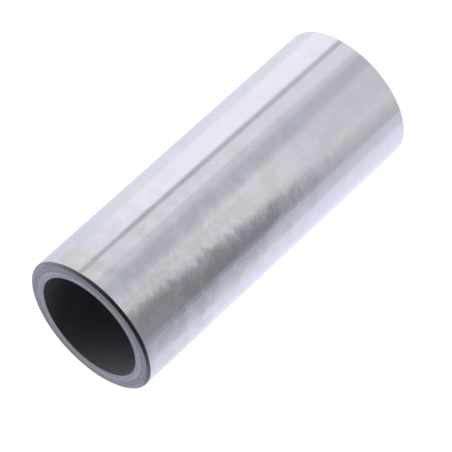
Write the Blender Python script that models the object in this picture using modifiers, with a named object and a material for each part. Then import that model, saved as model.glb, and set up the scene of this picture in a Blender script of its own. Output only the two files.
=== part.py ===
# Gudgeon pin, the short hollow steel pin that joins a piston to its connecting rod.
# It is one turned piece: a ground outside, a square end face with an outer chamfer at
# each end, and a bore that runs straight through.
# It stands on one end face. +Z runs along its axis, and the origin is the middle of that face.
import math

import bmesh
import bpy

# Driving dimensions, in metres
OUTER_DIAMETER = 0.0220
WALL_THICKNESS = 0.0025
LENGTH = 0.0550

# Outer chamfer, the same at both ends: how far it reaches in over the end face,
# and how far it reaches along the ground outside
CHAMFER_DEPTH = 0.00048
CHAMFER_HEIGHT = 0.00033

# Rounded edge where the bore meets each end face
MOUTH_RADIUS = 0.00008
MOUTH_STEPS = 4

# Sides of the turned surface, a multiple of four so that it reaches its full width on X and Y
ROUND_SIDES = 128
SEAM_MERGE = 0.000001

# Edges that turn by more than this stay crisp, which keeps both chamfer corners
CREASE_ANGLE = math.radians(20)

PIN_NAME = "gudgeon_pin"


def clear_scene():
    for item in list(bpy.data.objects):
        bpy.data.objects.remove(item, do_unlink=True)


def ground_steel():
    """Case-hardened steel with a fine ground finish."""
    material = bpy.data.materials.new("ground_steel")
    material.use_nodes = True
    shader = material.node_tree.nodes["Principled BSDF"]
    shader.inputs["Base Color"].default_value = (0.58, 0.58, 0.60, 1.0)
    shader.inputs["Metallic"].default_value = 1.0
    shader.inputs["Roughness"].default_value = 0.28
    return material


def end_section(face_z, inward):
    """One end of the wall in section, as (radius, z) points from the outside in to the bore.
    inward is +1 where the material lies above the face, and -1 where it lies below."""
    outer_radius = OUTER_DIAMETER / 2
    bore_radius = outer_radius - WALL_THICKNESS
    points = [
        (outer_radius, face_z + inward * CHAMFER_HEIGHT),
        (outer_radius - CHAMFER_DEPTH, face_z),
    ]
    for step in range(MOUTH_STEPS + 1):
        turn = math.pi / 2 * step / MOUTH_STEPS
        radius = bore_radius + MOUTH_RADIUS * (1 - math.sin(turn))
        height = MOUTH_RADIUS * (1 - math.cos(turn))
        points.append((radius, face_z + inward * height))
    return points


def wall_profile():
    """Closed section of the wall, at +X: down the outside, in over the bottom face,
    up the bore and out over the top face."""
    bottom = end_section(0.0, 1)
    top = end_section(LENGTH, -1)
    mesh = bpy.data.meshes.new("wall_profile")
    profile = bmesh.new()
    corners = [profile.verts.new((radius, 0.0, z)) for radius, z in bottom + top[::-1]]
    for index, corner in enumerate(corners):
        profile.edges.new((corners[index - 1], corner))
    profile.to_mesh(mesh)
    profile.free()
    return mesh


def turn_profile(profile, name, collection):
    """Turns a section through a full circle about Z, and keeps the result as a mesh."""
    blank = bpy.data.objects.new(name + "_profile", profile)
    collection.objects.link(blank)
    screw = blank.modifiers.new("Turning", "SCREW")
    screw.axis = "Z"
    screw.angle = math.tau
    screw.steps = ROUND_SIDES
    screw.render_steps = ROUND_SIDES
    screw.use_merge_vertices = True
    screw.merge_threshold = SEAM_MERGE

    evaluated = blank.evaluated_get(bpy.context.evaluated_depsgraph_get())
    mesh = bpy.data.meshes.new_from_object(evaluated)
    mesh.name = name
    mesh.shade_smooth()
    mesh.set_sharp_from_angle(angle=CREASE_ANGLE)
    bpy.data.objects.remove(blank, do_unlink=True)

    turned = bpy.data.objects.new(name, mesh)
    collection.objects.link(turned)
    return turned


clear_scene()

parts = bpy.data.collections.new(PIN_NAME)
bpy.context.scene.collection.children.link(parts)

pin = turn_profile(wall_profile(), PIN_NAME, parts)
pin.data.materials.append(ground_steel())
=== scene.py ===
# Looks of the gudgeon pin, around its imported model: the mesh with its fine edges, the four
# finishes that the steel shows, and the studio that the ground outside mirrors.
import math

import bmesh
import bpy
from mathutils import Matrix, Vector


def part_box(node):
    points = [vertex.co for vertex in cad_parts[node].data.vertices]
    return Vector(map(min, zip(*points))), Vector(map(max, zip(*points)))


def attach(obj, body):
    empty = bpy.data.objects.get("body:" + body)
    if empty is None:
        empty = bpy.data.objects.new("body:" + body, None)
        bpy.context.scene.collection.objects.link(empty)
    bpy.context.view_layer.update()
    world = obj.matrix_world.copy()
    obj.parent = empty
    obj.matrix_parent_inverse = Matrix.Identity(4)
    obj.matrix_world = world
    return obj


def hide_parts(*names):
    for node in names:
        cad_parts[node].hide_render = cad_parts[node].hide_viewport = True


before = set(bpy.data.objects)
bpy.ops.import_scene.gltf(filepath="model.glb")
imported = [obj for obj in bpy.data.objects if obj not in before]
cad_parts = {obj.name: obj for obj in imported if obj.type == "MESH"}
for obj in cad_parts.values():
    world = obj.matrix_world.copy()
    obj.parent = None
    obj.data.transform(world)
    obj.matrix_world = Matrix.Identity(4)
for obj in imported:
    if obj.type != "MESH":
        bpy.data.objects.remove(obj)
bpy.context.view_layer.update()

# Gudgeon pin. One length of seamless tube in case-hardening steel, faced and chamfered on a
# lathe, hardened, and ground on its outside between two wheels. It is one piece, so one mesh
# wears all its finishes. The two ends are alike.
MM = 0.001

pin_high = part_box("gudgeon_pin")[1]
outer_radius = pin_high.x
pin_length = pin_high.z
wall_thickness = 2.5 * MM
bore_radius = outer_radius - wall_thickness
chamfer_depth = 0.48 * MM
chamfer_height = 0.33 * MM
ridge_radius = 9.45 * MM
ridge_to_bore = 0.02 * MM
ridge_to_rim = 0.02 * MM
mouth_round = 0.03 * MM
edge_round = 0.05 * MM
round_segments = 3
round_steps = 256
just_touching = 0.002 * MM
crisp_angle = math.radians(10)


def end_section(face_z, inward):
    """One end of the wall in section, from the ground outside in to the bore. The end face
    falls away a little on both sides of a low ridge, as the facing tool leaves it."""
    return [
        (outer_radius, face_z + inward * chamfer_height),
        (outer_radius - chamfer_depth, face_z + inward * ridge_to_rim),
        (ridge_radius, face_z),
        (bore_radius, face_z + inward * ridge_to_bore),
    ]


wall = bmesh.new()
section = end_section(0.0, 1) + end_section(pin_length, -1)[::-1]
corners = [wall.verts.new((radius, 0.0, z)) for radius, z in section]
for index, corner in enumerate(corners):
    wall.edges.new((corners[index - 1], corner))
bmesh.ops.spin(
    wall,
    geom=wall.verts[:] + wall.edges[:],
    axis=(0.0, 0.0, 1.0),
    angle=math.tau,
    steps=round_steps,
    use_merge=True,
)
bmesh.ops.remove_doubles(wall, verts=wall.verts[:], dist=just_touching)
bmesh.ops.recalc_face_normals(wall, faces=wall.faces[:])

for ring_radius, width in (
    (bore_radius, mouth_round),
    (outer_radius - chamfer_depth, edge_round),
    (outer_radius, edge_round),
):
    ring = [
        edge
        for edge in wall.edges
        if abs(edge.verts[0].co.z - edge.verts[1].co.z) < just_touching
        and all(abs(vert.co.xy.length - ring_radius) < just_touching for vert in edge.verts)
    ]
    bmesh.ops.bevel(
        wall,
        geom=ring,
        offset=width,
        offset_type="OFFSET",
        affect="EDGES",
        segments=round_segments,
        profile=0.5,
        material=-1,
    )

# How far a face looks up or down tells what cut it. The deburred edge of the bore is as bright
# as the outside, so it shares that finish.
GROUND, FACED, CHAMFERED, BORED = range(4)
level = 0.99
upright = 0.01
deburred = 0.3
for face in wall.faces:
    looks_up = abs(face.normal.z)
    outside = face.calc_center_median().xy.length > ridge_radius
    if looks_up > level:
        face.material_index = FACED
    elif outside and looks_up > upright:
        face.material_index = CHAMFERED
    elif outside or looks_up > deburred:
        face.material_index = GROUND
    else:
        face.material_index = BORED

pin_mesh = bpy.data.meshes.new("ground_pin")
wall.to_mesh(pin_mesh)
wall.free()
pin_mesh.shade_smooth()
pin_mesh.set_sharp_from_angle(angle=crisp_angle)
pin = bpy.data.objects.new("ground_pin", pin_mesh)
bpy.context.scene.collection.objects.link(pin)


def srgb(code):
    """A six-digit sRGB hex colour as linear red, green, blue and alpha."""
    parts = [int(code[i : i + 2], 16) / 255 for i in (0, 2, 4)]
    return [p / 12.92 if p <= 0.04045 else ((p + 0.055) / 1.055) ** 2.4 for p in parts] + [1.0]


def add(tree, kind, inputs=None, **settings):
    """Adds a node with its settings. An input takes a value, a node or one of its sockets."""
    node = tree.nodes.new(kind)
    for name, value in settings.items():
        setattr(node, name, value)
    for name, value in (inputs or {}).items():
        if isinstance(value, bpy.types.Node):
            value = value.outputs[0]
        if isinstance(value, bpy.types.NodeSocket):
            tree.links.new(value, node.inputs[name])
        else:
            node.inputs[name].default_value = value
    return node


def new_tree(owner):
    """The owner's node tree, emptied."""
    owner.use_nodes = True
    owner.node_tree.nodes.clear()
    return owner.node_tree


# The sockets of a colour mix: its share, its two colours and its result. They go by number,
# because the node's other kinds use the same names.
SHARE, FIRST, SECOND = 0, 6, 7
MIXED = 2

# Ground steel. The wheel leaves fine marks that run round the pin, in patches, so the surface
# sparkles where a reflection changes. They are about 0.02 mm apart, and are drawn at 0.18 mm
# to show. Handling has left it mottled in front of the top end, with a dull stain at the edge.
ground = bpy.data.materials.new("ground_steel_outside")
tree = new_tree(ground)
place = add(tree, "ShaderNodeTexCoord").outputs["Object"]
mark_length = 0.4 * MM
mark_spacing = 0.18 * MM
mark_relief = 0.0003 * MM
grain_size = 0.3 * MM
mottle_size = 2.4 * MM
mottle_relief = 0.012 * MM

mark_grid = Vector((1 / mark_length, 1 / mark_length, 1 / mark_spacing))
marks_at = add(tree, "ShaderNodeVectorMath", {0: place, 1: mark_grid}, operation="MULTIPLY")
marks = add(tree, "ShaderNodeTexNoise", {"Vector": marks_at, "Scale": 1.0, "Detail": 2.0})
grain = add(tree, "ShaderNodeTexNoise", {"Vector": place, "Scale": 1 / grain_size, "Detail": 2.0})
mottle = add(
    tree,
    "ShaderNodeTexNoise",
    {"Vector": place, "Scale": 1 / mottle_size, "Detail": 3.0, "Roughness": 0.4},
)

# How strongly the marks show, which is less away from the handled place
handled_centre = Vector((-4.0, -10.0, 50.0)) * MM
handled_shape = Vector((1.0, 1.0, 0.3))
handled_core = 2.0 * MM
handled_reach = 14.0 * MM
handled_strength = 1.7
plain_strength = 0.55
handled_at = add(
    tree,
    "ShaderNodeVectorMath",
    {0: place, 1: handled_shape},
    operation="MULTIPLY",
)
handled_from = add(
    tree,
    "ShaderNodeVectorMath",
    {0: handled_at, 1: handled_centre * handled_shape},
    operation="DISTANCE",
).outputs["Value"]
handled = add(
    tree,
    "ShaderNodeMapRange",
    {
        "Value": handled_from,
        "From Min": handled_core,
        "From Max": handled_reach,
        "To Min": handled_strength,
        "To Max": plain_strength,
    },
)
fine = add(tree, "ShaderNodeMath", {0: marks, 1: grain}, operation="ADD")
fine = add(tree, "ShaderNodeMath", {0: fine, 1: 1.0}, operation="SUBTRACT")
fine = add(tree, "ShaderNodeMath", {0: fine, 1: handled}, operation="MULTIPLY")
mottled = add(tree, "ShaderNodeMath", {0: mottle, 1: 0.5}, operation="SUBTRACT")
mottled = add(tree, "ShaderNodeMath", {0: mottled, 1: handled}, operation="MULTIPLY")
relief = add(tree, "ShaderNodeBump", {"Height": fine, "Distance": mark_relief})
relief = {"Height": mottled, "Distance": mottle_relief, "Normal": relief}
relief = add(tree, "ShaderNodeBump", relief)

# The stain, about 8 mm wide, with a yellowish rim
stain_centre = Vector((7.3, -8.2, 52.8)) * MM
stain_shape = Vector((1.0, 1.0, 1.9))
stain_reach = 4.4 * MM
stain_core = 0.2 * stain_reach
stain_raggedness = 9.0 * MM
rim_strength = 3.5
stain_at = add(tree, "ShaderNodeVectorMath", {0: place, 1: stain_shape}, operation="MULTIPLY")
stain_from = add(
    tree,
    "ShaderNodeVectorMath",
    {0: stain_at, 1: stain_centre * stain_shape},
    operation="DISTANCE",
).outputs["Value"]
ragged = add(tree, "ShaderNodeMath", {0: mottled, 1: stain_raggedness}, operation="MULTIPLY")
stain_from = add(tree, "ShaderNodeMath", {0: stain_from, 1: ragged}, operation="ADD")
stain = add(
    tree,
    "ShaderNodeMapRange",
    {"Value": stain_from, "From Min": stain_reach, "From Max": stain_core},
)
inside = add(tree, "ShaderNodeMath", {0: 1.0, 1: stain}, operation="SUBTRACT")
rim = add(tree, "ShaderNodeMath", {0: stain, 1: inside}, operation="MULTIPLY")
rim = add(tree, "ShaderNodeMath", {0: rim, 1: rim_strength}, operation="MULTIPLY")

# Its colour is warm in some patches and cool in others, and flecked all over
mottle_share = 3.5
fleck_contrast = 0.06
warmth = add(tree, "ShaderNodeMapRange", {"Value": mottled, "From Min": -0.5, "From Max": 0.5})
colour = add(
    tree,
    "ShaderNodeMix",
    {SHARE: warmth, FIRST: srgb("CDCBCA"), SECOND: srgb("C7C9D1")},
    data_type="RGBA",
).outputs[MIXED]
colour = add(
    tree,
    "ShaderNodeMix",
    {SHARE: stain, FIRST: colour, SECOND: srgb("C5C4CC")},
    data_type="RGBA",
).outputs[MIXED]
yellowed = add(tree, "ShaderNodeMath", {0: rim, 1: warmth}, operation="MULTIPLY")
colour = add(
    tree,
    "ShaderNodeMix",
    {SHARE: yellowed, FIRST: colour, SECOND: srgb("C2BEAC")},
    data_type="RGBA",
).outputs[MIXED]
flecks = add(tree, "ShaderNodeMath", {0: mottled, 1: mottle_share}, operation="MULTIPLY")
flecks = add(tree, "ShaderNodeMath", {0: fine, 1: flecks}, operation="ADD")
flecks = add(tree, "ShaderNodeMath", {0: flecks, 1: handled}, operation="MULTIPLY")
flecks = add(
    tree,
    "ShaderNodeMapRange",
    {
        "Value": flecks,
        "From Min": -0.5,
        "From Max": 0.5,
        "To Min": 1.0 - fleck_contrast,
        "To Max": 1.0 + fleck_contrast,
    },
)
colour = add(tree, "ShaderNodeVectorMath", {0: colour, 1: flecks}, operation="MULTIPLY").outputs[0]

# Its roughness, which follows the patches, and is twice as high in the stain
shiny = 0.08
dull = 0.11
stain_dulling = 0.08
roughness = add(
    tree,
    "ShaderNodeMapRange",
    {"Value": mottled, "From Min": -0.2, "From Max": 0.2, "To Min": shiny, "To Max": dull},
)
stain_dull = add(tree, "ShaderNodeMath", {0: stain, 1: stain_dulling}, operation="MULTIPLY")
roughness = add(tree, "ShaderNodeMath", {0: roughness, 1: stain_dull}, operation="ADD")
lay = add(tree, "ShaderNodeTangent", direction_type="RADIAL", axis="Z")
steel = add(
    tree,
    "ShaderNodeBsdfPrincipled",
    {
        "Base Color": colour,
        "Metallic": 1.0,
        "Roughness": roughness,
        "Anisotropic": 0.2,
        "Anisotropic Rotation": 0.25,
        "Normal": relief,
        "Tangent": lay,
    },
)
add(tree, "ShaderNodeOutputMaterial", {"Surface": steel})

# Turned steel, on the two end faces. The facing tool leaves rings round the bore on a dull grey
# face, in a slight grain. The fine bright arcs that the rings catch are painted into the colour as
# a painted highlight, besides the rings' real relief. Such rings lie about 0.08 mm apart, and they
# and the grain are drawn at 0.16 mm to show.
faced = bpy.data.materials.new("turned_steel_face")
tree = new_tree(faced)
place = add(tree, "ShaderNodeTexCoord").outputs["Object"]
ring_spacing = 0.16 * MM
face_grain_size = 0.16 * MM
arc_length = 4.5 * MM
ring_relief = 0.008 * MM
flat = add(tree, "ShaderNodeVectorMath", {0: place, 1: (1.0, 1.0, 0.0)}, operation="MULTIPLY")
radius = add(tree, "ShaderNodeVectorMath", {0: flat}, operation="LENGTH").outputs["Value"]
ring_at = add(tree, "ShaderNodeMath", {0: radius, 1: 1 / ring_spacing}, operation="MULTIPLY")
ring_at = add(tree, "ShaderNodeCombineXYZ", {"Z": ring_at})
arc_at = add(
    tree,
    "ShaderNodeVectorMath",
    {0: flat, 1: Vector((1.0, 1.0, 0.0)) / arc_length},
    operation="MULTIPLY",
)
rings_at = add(tree, "ShaderNodeVectorMath", {0: arc_at, 1: ring_at}, operation="ADD")
rings = add(tree, "ShaderNodeTexNoise", {"Vector": rings_at, "Scale": 1.0, "Detail": 3.0})
grain = add(
    tree,
    "ShaderNodeTexNoise",
    {"Vector": place, "Scale": 1 / face_grain_size, "Detail": 2.0},
)
# Where the rings and grain run high, the colour turns pale. Along the rings this is a painted
# highlight; the grain is the steel's own uneven tone.
bright = add(tree, "ShaderNodeMath", {0: rings, 1: grain}, operation="ADD")
bright = add(tree, "ShaderNodeMapRange", {"Value": bright, "From Min": 0.75, "From Max": 1.25})
colour = add(
    tree,
    "ShaderNodeMix",
    {SHARE: bright, FIRST: srgb("A0A1A7"), SECOND: srgb("D3D4DA")},
    data_type="RGBA",
).outputs[MIXED]

# The tool dwelt at one radius and left a brighter ring, and the outer half is a little duller
dwell_radius = 9.25 * MM
dwell_core = 0.05 * MM
dwell_reach = 0.25 * MM
dwell_gain = 1.2
half_blend = 0.2 * MM
dwell_from = add(tree, "ShaderNodeMath", {0: radius, 1: dwell_radius}, operation="SUBTRACT")
dwell_from = add(tree, "ShaderNodeMath", {0: dwell_from}, operation="ABSOLUTE")
dwell = add(
    tree,
    "ShaderNodeMapRange",
    {
        "Value": dwell_from,
        "From Min": dwell_reach,
        "From Max": dwell_core,
        "To Min": 1.0,
        "To Max": dwell_gain,
    },
)
colour = add(tree, "ShaderNodeVectorMath", {0: colour, 1: dwell}, operation="MULTIPLY").outputs[0]
outer_half = add(
    tree,
    "ShaderNodeMapRange",
    {
        "Value": radius,
        "From Min": ridge_radius - half_blend,
        "From Max": ridge_radius + half_blend,
    },
)
colour = add(
    tree,
    "ShaderNodeMix",
    {SHARE: outer_half, FIRST: colour, SECOND: srgb("EDEFEC")},
    data_type="RGBA",
    blend_type="MULTIPLY",
).outputs[MIXED]
relief = add(tree, "ShaderNodeBump", {"Height": rings, "Distance": ring_relief})
lay = add(tree, "ShaderNodeTangent", direction_type="RADIAL", axis="Z")
steel = add(
    tree,
    "ShaderNodeBsdfPrincipled",
    {
        "Base Color": colour,
        "Metallic": 1.0,
        "Roughness": 0.36,
        "Anisotropic": 0.5,
        "Anisotropic Rotation": 0.25,
        "Normal": relief,
        "Tangent": lay,
    },
)
add(tree, "ShaderNodeOutputMaterial", {"Surface": steel})

# Turned steel, on the chamfers. The chamfering tool cuts smoother than the facing tool, so they
# are shinier, and they mirror the dark ceiling as a black line. Its streaks lie about 0.05 mm
# apart and are drawn at 0.12 mm to show.
chamfered = bpy.data.materials.new("turned_steel_chamfer")
tree = new_tree(chamfered)
place = add(tree, "ShaderNodeTexCoord").outputs["Object"]
streak_length = 2.0 * MM
streak_spacing = 0.12 * MM
streak_grid = Vector((1 / streak_length, 1 / streak_length, 1 / streak_spacing))
streaks_at = add(tree, "ShaderNodeVectorMath", {0: place, 1: streak_grid}, operation="MULTIPLY")
streaks = add(tree, "ShaderNodeTexNoise", {"Vector": streaks_at, "Scale": 1.0, "Detail": 2.0})
bright = add(tree, "ShaderNodeMapRange", {"Value": streaks, "From Min": 0.3, "From Max": 0.7})
colour = add(
    tree,
    "ShaderNodeMix",
    {SHARE: bright, FIRST: srgb("A4A5A9"), SECOND: srgb("BCBDC1")},
    data_type="RGBA",
).outputs[MIXED]
steel = add(
    tree,
    "ShaderNodeBsdfPrincipled",
    {"Base Color": colour, "Metallic": 1.0, "Roughness": 0.24},
)
add(tree, "ShaderNodeOutputMaterial", {"Surface": steel})

# Case-hardened steel, in the bore. Nothing runs on it, so it keeps the dull, slightly brown
# skin of the furnace over faint drawing marks along the tube, about 0.6 mm wide.
bored = bpy.data.materials.new("hardened_steel_bore")
tree = new_tree(bored)
place = add(tree, "ShaderNodeTexCoord").outputs["Object"]
drawn_width = 0.6 * MM
drawn_length = 4.0 * MM
skin_relief = 0.005 * MM
skin_grid = Vector((1 / drawn_width, 1 / drawn_width, 1 / drawn_length))
skin_at = add(tree, "ShaderNodeVectorMath", {0: place, 1: skin_grid}, operation="MULTIPLY")
skin = add(tree, "ShaderNodeTexNoise", {"Vector": skin_at, "Scale": 1.0, "Detail": 3.0})
brown = add(tree, "ShaderNodeMapRange", {"Value": skin, "From Min": 0.35, "From Max": 0.65})
colour = add(
    tree,
    "ShaderNodeMix",
    {SHARE: brown, FIRST: srgb("8A8C94"), SECOND: srgb("959499")},
    data_type="RGBA",
).outputs[MIXED]
relief = add(tree, "ShaderNodeBump", {"Height": skin, "Distance": skin_relief})
steel = add(
    tree,
    "ShaderNodeBsdfPrincipled",
    {"Base Color": colour, "Metallic": 0.4, "Roughness": 0.5, "Normal": relief},
)
add(tree, "ShaderNodeOutputMaterial", {"Surface": steel})

for material in (ground, faced, chamfered, bored):
    pin_mesh.materials.append(material)

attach(pin, "root")
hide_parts("gudgeon_pin")

# Floor. A sheet of matt white paper, lit until it is as white as the picture's ground. The pin
# doesn't mirror it, because in the photograph the pin lies down and its side faces the studio.
floor_reach = 3.0
floor_shape = bmesh.new()
bmesh.ops.create_grid(floor_shape, x_segments=1, y_segments=1, size=floor_reach)
floor_mesh = bpy.data.meshes.new("floor")
floor_shape.to_mesh(floor_mesh)
floor_shape.free()
floor = bpy.data.objects.new("floor", floor_mesh)
bpy.context.scene.collection.objects.link(floor)
floor.visible_glossy = False
paper = bpy.data.materials.new("matt_white_paper")
tree = new_tree(paper)
sheet = add(
    tree,
    "ShaderNodeBsdfPrincipled",
    {
        "Base Color": srgb("F2F2F2"),
        "Roughness": 0.9,
        "Emission Color": srgb("FFFFFF"),
        "Emission Strength": 1.0,
    },
)
add(tree, "ShaderNodeOutputMaterial", {"Surface": sheet})
floor_mesh.materials.append(paper)

# Studio. Sheets of paper and cloth hang round the pin, and each one mirrors as a band along
# it. A bearing is counted round the pin from the camera, positive towards -X, and an elevation
# from the horizon, both in degrees. The side of the pin mirrors what lies between two lines,
# 25 and 31 degrees down.
studio = bpy.data.worlds.new("studio")
bpy.context.scene.world = studio
tree = new_tree(studio)
direction = add(tree, "ShaderNodeTexCoord").outputs["Generated"]
turned = {0: direction, 1: (-1.0, -1.0, 1.0)}
turned = add(tree, "ShaderNodeVectorMath", turned, operation="MULTIPLY")
axes = add(tree, "ShaderNodeSeparateXYZ", {0: turned})
bearing = {0: axes.outputs["X"], 1: axes.outputs["Y"]}
bearing = add(tree, "ShaderNodeMath", bearing, operation="ARCTAN2")
bearing = add(tree, "ShaderNodeMath", {0: bearing}, operation="DEGREES")
elevation = add(tree, "ShaderNodeMath", {0: axes.outputs["Z"]}, operation="ARCSINE")
elevation = add(tree, "ShaderNodeMath", {0: elevation}, operation="DEGREES")
top_line = -25.0
bottom_line = -31.0


def hang(behind, colour, left, right, cover=1.0):
    """Hangs a sheet in front of what is behind it. Each side of it is given as its bearing on
    the top line, its bearing on the bottom line, and how many degrees its soft edge takes."""
    sides = []
    for upper, lower, blur in (left, right):
        edge = add(
            tree,
            "ShaderNodeMapRange",
            {
                "Value": elevation,
                "From Min": bottom_line,
                "From Max": top_line,
                "To Min": lower,
                "To Max": upper,
            },
        )
        beyond = add(tree, "ShaderNodeMath", {0: bearing, 1: edge}, operation="SUBTRACT")
        soft = {"Value": beyond, "From Min": -blur / 2, "From Max": blur / 2}
        sides.append(add(tree, "ShaderNodeMapRange", soft, interpolation_type="SMOOTHSTEP"))
    shown = add(tree, "ShaderNodeMath", {0: sides[0], 1: sides[1]}, operation="SUBTRACT")
    shown = add(tree, "ShaderNodeMath", {0: shown, 1: cover}, operation="MULTIPLY")
    return add(
        tree,
        "ShaderNodeMix",
        {SHARE: shown, FIRST: behind, SECOND: srgb(colour)},
        data_type="RGBA",
    ).outputs[MIXED]


# White and grey sheets below the horizon, from left to right as they mirror in the pin
around = 200.0
low = srgb("F4F2FA")
for colour, left, right in (
    ("DFE1EA", (-around, -around, 2), (-114, -120, 18)),
    ("D5D7E3", (-around, -around, 2), (-138, -138, 12)),
    ("BABCC1", (-around, -around, 2), (-161, -161, 20)),
    ("E0DEE1", (-68, -66, 4), (-1, -1, 24)),
    ("CDCDD4", (-43, -43, 5), (-1, -1, 24)),
    ("BABBC4", (-29, -29, 14), (-1, -1, 24)),
    ("DAD8DB", (-1, -1, 24), (78, 76, 5)),
    ("ACB0B9", (79, 76, 5), (around, around, 2)),
    ("C3C6CE", (98, 82, 24), (around, around, 2)),
    ("DEE0EE", (115, 101, 22), (around, around, 2)),
    ("C0C2C7", (165, 165, 22), (around, around, 2)),
    ("BABABF", (56, 56, 44), (80, 80, 8)),
):
    low = hang(low, colour, left, right)

# A narrow grey gap lets the wall through on the left, and is paler low down
gap = {"Value": elevation, "From Min": -31.0, "From Max": -27.5, "To Min": 0.78, "To Max": 1.0}
gap = add(tree, "ShaderNodeMapRange", gap)
low = hang(low, "B2B4BC", (-74.2, -71.0, 4), (-66.8, -60.8, 4), gap)

# A dark cloth leans across the right-hand sheets, and ends above the pin's foot
hem = add(tree, "ShaderNodeMapRange", {"Value": elevation, "From Min": -29.3, "From Max": -27.9})
low = hang(low, "9697A0", (22, 68, 9), (83, 76, 4), hem)
low = hang(low, "828287", (30, 75, 24), (73.5, 73.5, 3), hem)

# Two pale cards stand low down on the right
card = add(tree, "ShaderNodeMapRange", {"Value": elevation, "From Min": -27.0, "From Max": -27.5})
low = hang(low, "E0E2F0", (112, 101, 7), (136, 136, 24), card)
card = {"Value": elevation, "From Min": -28.0, "From Max": -29.0, "To Min": 0.0, "To Max": 0.5}
card = add(tree, "ShaderNodeMapRange", card)
low = hang(low, "D6D9E2", (80, 80, 5), (108, 100, 20), card)

# Two lilac sheets stand at the foot, a grey one hangs high up, and a thin veil hangs across
# them all at the top
foot = add(tree, "ShaderNodeMapRange", {"Value": elevation, "From Min": -29.0, "From Max": -29.9})
low = hang(low, "CAC8CF", (-4, -4, 12), (42, 42, 20), foot)
low = hang(low, "E0DEE8", (-64, -62, 5), (-42, -38, 8), foot)
brow = {"Value": elevation, "From Min": -27.5, "From Max": -25.1, "To Min": 0.0, "To Max": 0.4}
brow = add(tree, "ShaderNodeMapRange", brow)
low = hang(low, "B4B3B6", (-6, -6, 16), (30, 30, 12), brow)
veil = {"Value": elevation, "From Min": -26.0, "From Max": -25.1, "To Min": 0.0, "To Max": 0.2}
veil = add(tree, "ShaderNodeMapRange", veil)
low = hang(low, "A9AAAE", (-around, -around, 2), (around, around, 2), veil)
low = hang(low, "9C9DA2", (-116, -116, 12), (-74, -74, 6), veil)

# They hang in faint folds, and grow darker towards the floor
folds = {"W": bearing, "Scale": 0.3, "Detail": 3.0}
folds = add(tree, "ShaderNodeTexNoise", folds, noise_dimensions="1D")
folds = add(
    tree,
    "ShaderNodeMapRange",
    {"Value": folds, "From Min": 0.3, "From Max": 0.7, "To Min": 0.97, "To Max": 1.03},
)
low = add(tree, "ShaderNodeVectorMath", {0: low, 1: folds}, operation="MULTIPLY").outputs[0]
shade = {"Value": elevation, "From Min": -75.0, "From Max": -38.0, "To Min": 0.6, "To Max": 1.0}
shade = add(tree, "ShaderNodeMapRange", shade)
low = add(tree, "ShaderNodeVectorMath", {0: low, 1: shade}, operation="MULTIPLY").outputs[0]

# Above the horizon the room is dark, apart from a window and a lamp on the left, a paler lamp on
# the right, and the wall behind
sill = {"Value": elevation, "From Min": 34.0, "From Max": 88.0, "To Min": 1.0, "To Max": 0.0}
window_top = add(tree, "ShaderNodeMapRange", sill, interpolation_type="SMOOTHSTEP")
rail = {"Value": elevation, "From Min": 20.0, "From Max": 66.0, "To Min": 1.0, "To Max": 0.0}
wall_top = add(tree, "ShaderNodeMapRange", rail, interpolation_type="SMOOTHSTEP")
lamp = {"Value": elevation, "From Min": 24.0, "From Max": 48.0, "To Min": 1.0, "To Max": 0.0}
lamp_top = add(tree, "ShaderNodeMapRange", lamp, interpolation_type="SMOOTHSTEP")
high = srgb("262627")
high = hang(high, "6E6F73", (-150, -150, 60), (-30, -30, 60), window_top)
high = hang(high, "FFFFFF", (-128, -128, 30), (-56, -56, 24), lamp_top)
high = hang(high, "DADCE6", (84, 84, 24), (128, 128, 30), lamp_top)
high = hang(high, "AAACB6", (146, 146, 50), (around, around, 2), wall_top)
high = hang(high, "AAACB6", (-around, -around, 2), (-132, -132, 60), wall_top)

skyline = {"Value": elevation, "From Min": -22.0, "From Max": -10.0}
skyline = add(tree, "ShaderNodeMapRange", skyline, interpolation_type="SMOOTHSTEP")
light = add(
    tree,
    "ShaderNodeMix",
    {SHARE: skyline, FIRST: low, SECOND: high},
    data_type="RGBA",
).outputs[MIXED]

# The pin mirrors the studio, and the camera sees plain white behind the pin
studio_strength = 1.5
backdrop_strength = 1.1
glow = add(tree, "ShaderNodeBackground", {"Color": light, "Strength": studio_strength})
plain = {"Color": srgb("FFFFFF"), "Strength": backdrop_strength}
plain = add(tree, "ShaderNodeBackground", plain)
seen = add(tree, "ShaderNodeLightPath").outputs["Is Camera Ray"]
shown = add(tree, "ShaderNodeMixShader", {0: seen, 1: glow, 2: plain})
add(tree, "ShaderNodeOutputWorld", {"Surface": shown})

# Camera. It looks down on the standing pin at 27 degrees through a long lens, and is rolled so
# far that the pin's top end points to the lower left of the picture.
camera_place = Vector((0.0, -383.24, 225.92)) * MM
camera_target = Vector((-2.45, 0.0, 29.01)) * MM
camera_roll = math.radians(-132.52)

lens = bpy.data.cameras.new("product_camera")
lens.sensor_width = 36.0
lens.lens = 244.65
lens.clip_start = 10 * MM
lens.clip_end = 10.0
camera = bpy.data.objects.new("product_camera", lens)
bpy.context.scene.collection.objects.link(camera)
placed = Matrix.Translation(camera_place)
aimed = (camera_target - camera_place).to_track_quat("-Z", "Y").to_matrix().to_4x4()
rolled = Matrix.Rotation(camera_roll, 4, "Z")
camera.matrix_world = placed @ aimed @ rolled
bpy.context.scene.camera = camera
bpy.context.scene.view_settings.view_transform = "Standard"
